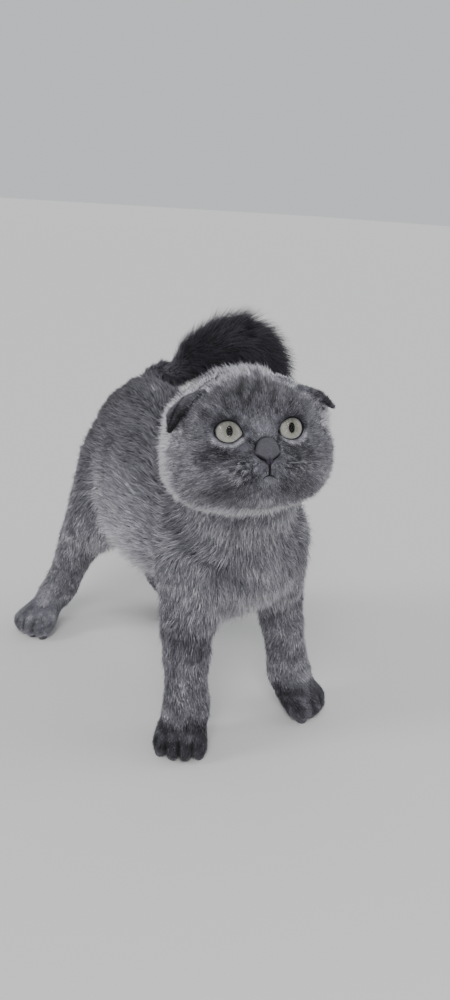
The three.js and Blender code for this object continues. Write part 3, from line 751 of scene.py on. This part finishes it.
def tufts(name, area, number, width, bend, coat, wild=0.11, guard=0.2, fringe=1.28):
    """Tufts on the triangles of the skin marked by area; bend gives each a knee. A share of them,
    guard, are thinner, paler and longer by fringe. Wild is how much their shades differ."""
    weight = tri_area * area
    reach = np.cumsum(weight)
    pick = np.searchsorted(reach, (np.arange(number) + draw.random(number)) / number * reach[-1])
    pick = np.minimum(pick, tri_count - 1)
    a, b = draw.random((2, number))
    flip = a + b > 1
    a, b = np.where(flip, 1 - a, a), np.where(flip, 1 - b, b)
    share = np.stack([1 - a - b, a, b], 1)
    root = (spots[tri_verts[pick]] * share[:, :, None]).sum(1)
    normal = unit((normals[tri_verts[pick]] * share[:, :, None]).sum(1))
    uv = (loop_uv[tri_loops[pick]] * share[:, :, None]).sum(1)
    on_ear = (ears[tri_verts[pick]] * share).sum(1)
    way, length, lift, _, face, _ = coat_at(root)
    inner = in_head(root)
    for s in (-1, 1):
        gap = inner - EYE_AT * [s, 1, 1]
        close = step(7, 1.5, norms(gap) - EYE_RADIUS)
        way += (unit(gap) @ HEAD_TURN.T) * (close * norms(way) * 2)[:, None]
    # The hair leans away from the eyes and strays a little
    flow = unit(way)
    sway = np.stack([cloud(root, 9, 10 + k) * 0.35 + cloud(root, 2.6, 20 + k) * 0.3
                     for k in range(3)], 1)
    stray = unit(draw.normal(size=(number, 3))) * 0.16
    flow = unit(flow + sway * (1 - 0.5 * face)[:, None] + stray)
    flow = unit(flow - normal * (flow * normal).sum(1)[:, None])
    side = np.cross(normal, flow)
    # Longer behind the tips of the ears and under the belly, short and flat on the ears
    thin = draw.random(number) < guard
    longer = 1 + (fringe - 1) * step(16, 44, norms(root - TAIL_PATH[1]))
    ruff = fade(norms(folded(inner) - RUFF_AT), 9) * np.where(inner[:, 0] > 0, 1.0, 0.25)
    hang = step(-0.05, -0.7, normal[:, 2]) * step(70, 88, root[:, 2]) * step(-40, -15, root[:, 1])
    length = np.where(on_ear > 0.5, 1.9, length + 6 * ruff + 4.5 * hang)
    lift = np.where(on_ear > 0.5, 16, lift + 24 * ruff + 22 * hang)
    size = length * draw.uniform(0.72, 1.12, number) * np.where(thin, longer, 1.0)
    size = np.minimum(size, LONG_HAIR + 0.45 * (size - LONG_HAIR))
    raised = np.radians(lift + draw.normal(0, 7, number) + 6 * thin + 7 * cloud(root, 5, 30))
    wide = width * draw.uniform(0.7, 1.2, number) * np.where(thin, 0.45, 1.0)
    # A root sunk in the skin, and a point; between them a knee where the hair bends
    sunk = root - normal * (0.1 * size + 0.2)[:, None]
    lean0 = normal * np.sin(raised + 0.28)[:, None] + flow * np.cos(raised + 0.28)[:, None]
    lean1 = normal * np.sin(raised - 0.35)[:, None] + flow * np.cos(raised - 0.35)[:, None]
    out = unit(np.cross(side, lean0)) * -1
    half = side * (wide * 0.5)[:, None]
    thick = out * (wide * 0.4)[:, None]
    if bend:
        knee = sunk + lean0 * (size * 0.5)[:, None]
        end = knee + lean1 * (size * 0.6)[:, None]
        parts = [sunk, knee - half - thick * 0.3, knee + half - thick * 0.3, knee + thick, end]
        shape = np.array([[0, 1, 2], [0, 2, 3], [0, 3, 1], [4, 2, 1], [4, 3, 2], [4, 1, 3]])
        tip = [0, 0.4, 0.4, 0.4, 1]
    else:
        end = sunk + (lean0 + lean1) * (size * 0.55)[:, None]
        parts = [sunk - half, sunk + half, sunk + thick, end]
        shape = np.array([[0, 1, 2], [0, 3, 1], [1, 3, 2], [2, 3, 0]])
        tip = [0, 0, 0, 1]
    # Its corners, kept above the floor; they share the place of the root on the skin's map
    each = len(parts)
    points = np.stack(parts, 1).reshape(-1, 3)
    points[:, 2] = np.maximum(points[:, 2], 0.1)
    faces = (np.arange(number)[:, None, None] * each + shape).reshape(-1, 3)
    spread = np.array([[math.cos(2.4 * k), math.sin(2.4 * k)] for k in range(each)]) * 0.0015
    uv_all = (uv[:, None, :] + spread).reshape(-1, 2)
    shade = shade_of(root, normal, on_ear) + draw.normal(0, wild, number)
    shade += 0.2 * (fringe - 1) * thin
    mesh = joined(name, points, faces, uv_all, {
        "shade": np.repeat(shade, each), "tip": np.tile(tip, number)})
    piece = finished(name, mesh, coat)
    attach(piece, "root")


plush = coat_material("plush guard hair", 900.0, 0.26, 0.07, 0)
smoke = coat_material("charcoal hair", 900.0, 0.3, 0.07, 0)
on_head = (tri_region == HEAD_LIE) & ~tri_ear & growing
on_tail = (tri_region >= TAIL_FIRST) & (tri_region < HEAD_LIE)
on_paw = np.isin(tri_region, PAW_LIE)
on_limb = np.isin(tri_region, LIMB_LIE)
on_chest = np.isin(tri_region, CHEST_LIE)
on_trunk = np.isin(tri_region, TRUNK_LIE)
front_half = tri_middle[:, 1] < 0
fore_trunk = tri_middle[:, 1] < 22
short_faced = tri_face > 0.35
tufts("coat_face", on_head & short_faced, 48000, 0.36, False, plush, wild=0.16, guard=0.15)
tufts("coat_head", on_head & ~short_faced, 31500, 0.5, True, plush)
tufts("coat_chest", on_chest & growing, 32000, 0.62, True, plush)
tufts("coat_trunk_front", on_trunk & fore_trunk, 31000, 0.68, True, plush)
tufts("coat_trunk_back", on_trunk & ~fore_trunk, 30000, 0.68, True, plush)
tufts("coat_forelegs", on_limb & front_half, 23000, 0.52, True, plush)
tufts("coat_hindlegs", on_limb & ~front_half, 20000, 0.55, True, plush)
tufts("coat_paws", on_paw, 28000, 0.45, False, smoke, wild=0.12)
tufts("coat_tail", on_tail, 25000, 0.62, True, smoke,
      wild=0.05, guard=0.5, fringe=1.5)
tufts("coat_ears", tri_ear, 10000, 0.38, False, smoke)

# Eyes: a ball with a pale grey-green iris and a narrow upright pupil behind a clear domed front.
# The ball and its iris are one spun shell. The clear front is a spun lens set on its rim.
BALL_RADIUS = EYE_RADIUS * 0.99
IRIS_RADIUS = 6.45
IRIS_DEPTH = 5.7
CORNEA_RADIUS = 6.8
CORNEA_BACK = 2.7
PUPIL = (0.22, 0.36)          # half width and half height, as a share of the iris
GLANCE = 0.12                 # how far the pupils stand to the kitten's left, by the same share


def eye_frame(s):
    turned = HEAD_TURN @ eye_turn(s)
    matrix = Matrix([list(row * MM) for row in turned]).to_4x4()
    matrix.translation = place(from_head(EYE_AT * [s, 1, 1]))
    return matrix


def spun(profile):
    """A closed shell from a profile of (radius, y) pairs turned about the eye's own axis."""
    shell = bmesh.new()
    line = [shell.verts.new((radius, y, 0)) for radius, y in profile]
    rims = [shell.edges.new(pair) for pair in zip(line, line[1:])]
    bmesh.ops.spin(shell, geom=line + rims, cent=(0, 0, 0), axis=(0, 1, 0),
                   angle=math.tau, steps=64, use_merge=True)
    bmesh.ops.remove_doubles(shell, verts=shell.verts, dist=1e-4)
    bmesh.ops.recalc_face_normals(shell, faces=shell.faces)
    return shell


def mix(tree, share, first, second, blend="MIX"):
    """One colour over another by a share."""
    node = tree.nodes.new("ShaderNodeMixRGB")
    node.blend_type = blend
    for socket, value in zip(node.inputs, (share, first, second)):
        feed(tree, socket, value)
    return node.outputs[0]


def slope(tree, across, up):
    """The distance that lies that far across and that far up."""
    return maths(tree, "POWER", maths(tree, "ADD", maths(tree, "MULTIPLY", across, across),
                                      maths(tree, "MULTIPLY", up, up)), 0.5)


IRIS_BANDS = [(0.0, (0.2, 0.195, 0.16)), (0.36, (0.28, 0.275, 0.23)), (0.62, (0.46, 0.45, 0.41)),
              (0.84, (0.4, 0.395, 0.37)), (0.98, (0.025, 0.025, 0.025))]
iris, tree, shader = material("iris")
flat = tree.nodes.new("ShaderNodeUVMap")
flat.uv_map = "front"
split = add(tree, "SeparateXYZ", Vector=flat.outputs["UV"])
u = maths(tree, "SUBTRACT", maths(tree, "MULTIPLY", split.outputs["X"], 2.0), 1.0 + GLANCE)
v = maths(tree, "SUBTRACT", maths(tree, "MULTIPLY", split.outputs["Y"], 2.0), 1.0)
radius = slope(tree, u, v)
angle = maths(tree, "ARCTAN2", v, u)
spoke = add(tree, "CombineXYZ", Z=maths(tree, "MULTIPLY", radius, 1.6),
            X=maths(tree, "MULTIPLY", maths(tree, "COSINE", angle, 0.0), 7.0),
            Y=maths(tree, "MULTIPLY", maths(tree, "SINE", angle, 0.0), 7.0))
fibres = add(tree, "TexNoise", Vector=spoke.outputs["Vector"], Scale=2.4, Detail=5.0).outputs["Fac"]
wobble = maths(tree, "MULTIPLY", maths(tree, "SUBTRACT", fibres, 0.5), 0.16)
rays_tone = add(tree, "MapRange", Value=fibres, From_Min=0.36, From_Max=0.62, To_Min=0.62)
# Painted shadow of the upper lid: the iris grows darker toward its top.
painted_lid_shadow = add(tree, "MapRange", Value=v, From_Min=0.2, From_Max=0.9, To_Min=1.0, To_Max=0.5)
toned = mix(tree, 1.0, ramp(tree, maths(tree, "ADD", radius, wobble), IRIS_BANDS),
            maths(tree, "MULTIPLY", rays_tone.outputs["Result"], painted_lid_shadow.outputs["Result"]),
            "MULTIPLY")
slit = slope(tree, maths(tree, "DIVIDE", u, PUPIL[0]),
             maths(tree, "DIVIDE", maths(tree, "SUBTRACT", v, 0.03), PUPIL[1]))
edge = add(tree, "MapRange", Value=slit, From_Min=0.9, From_Max=1.08)
fill(tree, shader, Base_Color=mix(tree, edge.outputs["Result"], (0.001, 0.001, 0.0012, 1), toned),
     Roughness=0.6, Specular_IOR_Level=0.15, Normal=bump(tree, fibres, 0.25, 0.3))

clear, tree, shader = material("clear front")
film = add(tree, "TexNoise", Vector=on_object(tree), Scale=300.0).outputs["Fac"]
damp = add(tree, "MapRange", Value=film, To_Min=0.0, To_Max=0.03)
fill(tree, shader, Base_Color=(1, 1, 1, 1), Transmission_Weight=1.0, IOR=1.15,
     Roughness=damp.outputs["Result"])

for side_name, s in (("right", -1), ("left", 1)):
    limbus = math.asin(IRIS_RADIUS / EYE_RADIUS)
    profile = [(0.0, -IRIS_DEPTH + 0.5), (2.5, -IRIS_DEPTH + 0.25),
               (IRIS_RADIUS - 0.3, -IRIS_DEPTH + 0.1)]
    profile += [(BALL_RADIUS * math.sin(t), -BALL_RADIUS * math.cos(t))
                for t in np.linspace(limbus, math.pi, 22)]
    profile[-1] = (0.0, BALL_RADIUS)
    shell = spun(profile)
    front = shell.loops.layers.uv.new("front")
    for face_of_shell in shell.faces:
        for loop in face_of_shell.loops:
            co = loop.vert.co
            loop[front].uv = (0.5 + 0.5 * co.x / IRIS_RADIUS, 0.5 + 0.5 * co.z / IRIS_RADIUS)
    bmesh.ops.transform(shell, matrix=eye_frame(s), verts=shell.verts)
    eyeball = finished("eyeball_" + side_name, shell, iris)
    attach(eyeball, "root")
    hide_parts("eye_" + side_name)

    rim = math.acos((IRIS_DEPTH - 0.25 - CORNEA_BACK) / CORNEA_RADIUS)
    dome = [(CORNEA_RADIUS * math.sin(t), -CORNEA_BACK - CORNEA_RADIUS * math.cos(t))
            for t in np.linspace(0, rim, 18)]
    dome[0] = (0.0, dome[0][1])
    shell = spun(dome + [(0.0, dome[-1][1] + 0.02)])
    bmesh.ops.transform(shell, matrix=eye_frame(s), verts=shell.verts)
    cornea = finished("cornea_" + side_name, shell, clear)
    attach(cornea, "root")

# Lid margins: the bare dark edge of the lids, a soft roll round each eye, drawn out at the inner
# corner. A closed tube laid on the ball, thicker along the upper lid.
LID_SHELL = 8.95
LID_ROLL = 0.46

margin, tree, shader = material("dark lid margin")
pores = add(tree, "TexNoise", Vector=on_object(tree), Scale=900.0).outputs["Fac"]
fill(tree, shader, Roughness=0.5, Specular_IOR_Level=0.12,
     Base_Color=mix(tree, pores, (0.003, 0.003, 0.004, 1), (0.01, 0.009, 0.012, 1)))


def tube(name, paths, finish, cyclic=False, sides=3):
    """Round tubes through points in drawing millimetres; each point carries its own thickness."""
    wire = bpy.data.curves.new(name, "CURVE")
    wire.dimensions = "3D"
    wire.bevel_depth = MM
    wire.bevel_resolution = sides
    wire.use_fill_caps = True
    for path in paths:
        line = wire.splines.new("POLY")
        line.points.add(len(path) - 1)
        line.use_cyclic_u = cyclic
        for point, (spot, thick) in zip(line.points, path):
            point.co = (*place(spot), 1)
            point.radius = thick
    holder = link(name, wire)
    mesh = evaluated(holder)
    bpy.data.objects.remove(holder)
    mesh.name = name
    return finished(name, mesh, finish)


for side_name, s in (("right", -1), ("left", 1)):
    ring = []
    for a in np.linspace(0, math.tau, 72, endpoint=False):
        rim = float(lid_rim(a))
        out, up = rim * math.cos(a), rim * math.sin(a)
        deep = -math.sqrt(max(LID_SHELL ** 2 - rim * rim, 1.0))
        thick = LID_ROLL * (1 + 0.6 * max(math.sin(a + 0.5), 0) - 0.2 * max(-math.sin(a), 0))
        ring.append((from_head(from_eye(out, deep, up, s)), thick))
    lid = tube("lid_margin_" + side_name, [ring], margin, cyclic=True, sides=4)
    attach(lid, "root")

# Nose: bare grained leather with a round top, two comma nostrils and a cleft below.
# One ball pressed into shape, seated in the pocket of the skin.
NOSTRIL = ((5.6, -9.1, 0), (2.5, -11.2, 0))
nose_shape = bmesh.new()
bmesh.ops.create_uvsphere(nose_shape, u_segments=72, v_segments=54, radius=1)
bmesh.ops.rotate(nose_shape, verts=nose_shape.verts, cent=(0, 0, 0),
                 matrix=Matrix.Rotation(math.radians(90), 3, "X"))
wet, nostril_shade = [], []
for vert in nose_shape.verts:
    x, y, z = vert.co
    x, y = [math.copysign(abs(value) ** 0.88, value) for value in (x, y)]
    spot = np.array([x, y, z]) * NOSE_SIZE + NOSE_MIDDLE
    low = step(-9.8, -13.4, spot[2])
    ahead = min(max(-y, 0), 1)
    spot[0] *= 1 - 0.62 * low + 0.14 * fade(spot[2] + 9, 2.2)
    flat_spot = np.array([[abs(spot[0]), spot[2], 0]])
    slit = np.linalg.norm(nearest_on(flat_spot, *NOSTRIL)[0])
    cleft = abs(spot[0])
    spot[1] += ahead * (1.7 * fade(slit, 0.9) - 2.1 * low
                        + 0.4 * fade(cleft, 0.45) * step(-8.8, -10, spot[2]))
    wet.append(0.85 * step(-9.3, -10.6, spot[2] + 0.12 * abs(spot[0])))
    # The nostrils and the cleft are shallow dents; the shade in them is painted, near black.
    nostril_shade.append(max(math.exp(-(slit / 1.35) ** 4),
                    0.75 * fade(cleft, 0.4) * step(-9.6, -10.6, spot[2])))
    vert.co = place(from_head(spot))
nose_mesh = mesh_of("nose_leather", nose_shape)
add_value(nose_mesh, "wet", wet)
add_value(nose_mesh, "nostril_shade", nostril_shade)
leather, tree, shader = material("nose leather")
pebble = add(tree, "TexVoronoi", Vector=on_object(tree), Scale=1250.0).outputs["Distance"]
mottle = add(tree, "TexNoise", Vector=on_object(tree), Scale=260.0, Detail=4.0).outputs["Fac"]
speckled = maths(tree, "ADD", maths(tree, "MULTIPLY", mottle, 0.6),
                 maths(tree, "MULTIPLY", pebble, 0.4))
slate = mix(tree, speckled, (0.03, 0.0285, 0.036, 1), (0.098, 0.094, 0.112, 1))
plum = mix(tree, carried(tree, "wet"), slate, (0.024, 0.016, 0.032, 1))
fill(tree, shader, Base_Color=mix(tree, carried(tree, "nostril_shade"), plum, (0.003, 0.002, 0.004, 1)),
     Roughness=maths(tree, "ADD", maths(tree, "MULTIPLY", mottle, 0.25), 0.4),
     Specular_IOR_Level=0.2, Normal=bump(tree, pebble, 0.7, 0.3))
nose = finished("nose_leather", nose_mesh, leather)
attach(nose, "root")
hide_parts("nose")

# Mouth: the dark cleft below the nose and the closed line of the lips, bare like the lids.
# Thin tapering tubes laid along the skin and half sunk in it.
LIP_PATHS = [[(0, -12.2), (0, -14), (0, -16), (0, -17.6)]]
for s in (-1, 1):
    LIP_PATHS.append([(0, -17.5), (s * 1.5, -17.9), (s * 3.4, -19.4), (s * 5.2, -21),
                      (s * 7, -22.2)])
skin_tree = BVHTree.FromPolygons([Vector(v) for v in spots], [list(t) for t in tri_verts])


def on_skin(x, z):
    start = Vector(from_head(np.array([x, -70.0, z])))
    ahead = Vector(HEAD_TURN @ np.array([0, 1.0, 0]))
    hit = skin_tree.ray_cast(start, ahead)
    return np.array(hit[0]), np.array(ahead)


lips = []
for path in LIP_PATHS:
    line = []
    for i in range(len(path) - 1):
        for t in np.linspace(0, 1, 5)[(0 if i == 0 else 1):]:
            x = path[i][0] * (1 - t) + path[i + 1][0] * t
            z = path[i][1] * (1 - t) + path[i + 1][1] * t
            spot, ahead = on_skin(x, z)
            line.append([spot - ahead * 0.2, 0.4])
    if path[-1][0]:     # the lips' line thins and rises toward its corner
        for k, point in enumerate(line):
            point[0] = point[0] + ahead * (0.15 + 0.5 * k / len(line))
            point[1] *= 1 - 0.75 * k / (len(line) - 1)
    else:               # the cleft narrows downward
        for k, point in enumerate(line):
            point[1] *= 1.7 - 0.6 * k / (len(line) - 1)
    lips.append([tuple(point) for point in line])
lip = tube("lips", lips, margin)
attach(lip, "root")

# Whiskers: stiff fine tapering hairs in rows on each side of the muzzle, a few over each eye.
# Each is a thin tube that starts on the skin and bends back toward its tip.
WHISKER_ROWS = [(-12.5, (8.5, 11.5, 14.5)), (-15.5, (9, 12, 15)), (-18.3, (9.5, 12.5))]
WHISKER_THICK = 0.04
straw, tree, shader = material("pale whisker")
band_along = add(tree, "TexNoise", Vector=on_object(tree), Scale=200.0).outputs["Fac"]
fill(tree, shader, Roughness=0.4,
     Base_Color=mix(tree, band_along, (0.16, 0.16, 0.17, 1), (0.3, 0.3, 0.31, 1)))


def whisker(x, z, aim, droop, long, count):
    """The places and thickness along one hair that starts on the skin."""
    spot, _ = on_skin(x, z)
    aim = np.array(aim) / np.linalg.norm(aim)
    return [(spot + HEAD_TURN @ ((aim * t + np.array(droop) * t * t) * long),
             WHISKER_THICK * (1 - 0.85 * t)) for t in np.linspace(0, 1, count)]


hairs = []
for s in (-1, 1):
    for z, columns in WHISKER_ROWS:
        for x in columns:
            aim = (s * (0.75 + 0.03 * x), -0.45 + 0.035 * x, -0.12 + 0.05 * (z + 15))
            hairs.append(whisker(s * x, z, aim, (s * 0.05, 0.175, -0.15), draw.uniform(19, 29), 9))
    for k in range(3):
        hairs.append(whisker(s * (11.5 + 2 * k), 13.5, (s * (0.2 + 0.2 * k), -0.5, 0.85),
                             (s * 0.1, 0.3, 0), draw.uniform(12, 17), 7))
whiskers = tube("whiskers", hairs, straw, sides=1)
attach(whiskers, "root")

# Pads: bare dark leather under each paw, one heel pad and four toe pads.
# Pressed balls, flat where they stand on the floor.
PAD_AT, PAD_TALL = 2.2, 3.2
pad_shape = bmesh.new()
for (x, y), degrees in PAWS:
    a = math.radians(degrees)
    spots_of_pads = [(0, 0, 6.5, 5.0)] + [(k * TOE_PITCH, 9.5 - abs(k) * 2.2, 3.2, 3.8)
                                          for k in (-1.5, -0.5, 0.5, 1.5)]
    for across_paw, ahead_paw, wide, deep in spots_of_pads:
        at = (x + across_paw * math.cos(a) + ahead_paw * math.sin(a),
              y + across_paw * math.sin(a) - ahead_paw * math.cos(a), PAD_AT)
        matrix = (Matrix.Translation(place(at)) @ Matrix.Rotation(a, 4, "Z")
                  @ Matrix.Diagonal((wide * MM, deep * MM, PAD_TALL * MM, 1)))
        bmesh.ops.create_uvsphere(pad_shape, u_segments=20, v_segments=12, radius=1, matrix=matrix)
floor_level = place((0, 0, 0)).z
for vert in pad_shape.verts:
    vert.co.z = max(vert.co.z, floor_level)
pads = finished("paw_pads", pad_shape, leather)
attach(pads, "root")

# Floor and light: a plain pale floor, a broad soft key and a cooler window light from the left,
# a weak fill from the right, and two small lamps low in front for the glints of the eyes.
FLOOR_HALF = 30.0
floor_shape = bmesh.new()
bmesh.ops.create_grid(floor_shape, x_segments=2, y_segments=2, size=FLOOR_HALF)
floor = link("floor", mesh_of("floor", floor_shape))
pale, tree, shader = material("pale floor")
speck = add(tree, "TexNoise", Scale=3.0).outputs["Fac"]
fill(tree, shader, Roughness=0.7,
     Base_Color=mix(tree, speck, (0.58, 0.575, 0.57, 1), (0.61, 0.605, 0.6, 1)))
floor.data.materials.append(pale)

GLINTS = ((-390, -395, 130), (-80, -530, 75))
# Suns: name, from where, spread in degrees, strength, colour
LIGHTS = [("key", (-520, -520, 820), 28, 1.7, (1.0, 0.99, 0.97)),
          ("window", (-700, 330, 520), 14, 1.0, (0.98, 0.99, 1.0)),
          ("fill", (700, -420, 480), 40, 0.9, (0.97, 0.985, 1.0))]
for name, spot, spread, power, colour in LIGHTS:
    lamp = bpy.data.lights.new(name, "SUN")
    lamp.angle = math.radians(spread)
    lamp.energy = power
    lamp.color = colour
    holder = link(name, lamp)
    holder.rotation_euler = Vector(spot).to_track_quat("Z", "Y").to_euler()
for spot in GLINTS:
    catch = bpy.data.lights.new("catch light", "AREA")
    catch.size = 0.02
    catch.energy = 0.22
    holder = link("catch light", catch)
    holder.location = place(spot)
    holder.rotation_euler = (holder.location - place(HEAD_AT)).to_track_quat("Z", "Y").to_euler()
world = bpy.data.worlds.new("studio")
world.use_nodes = True
fill(world.node_tree, world.node_tree.nodes["Background"],
     Color=(0.86, 0.88, 0.9, 1), Strength=0.78)
bpy.context.scene.world = world
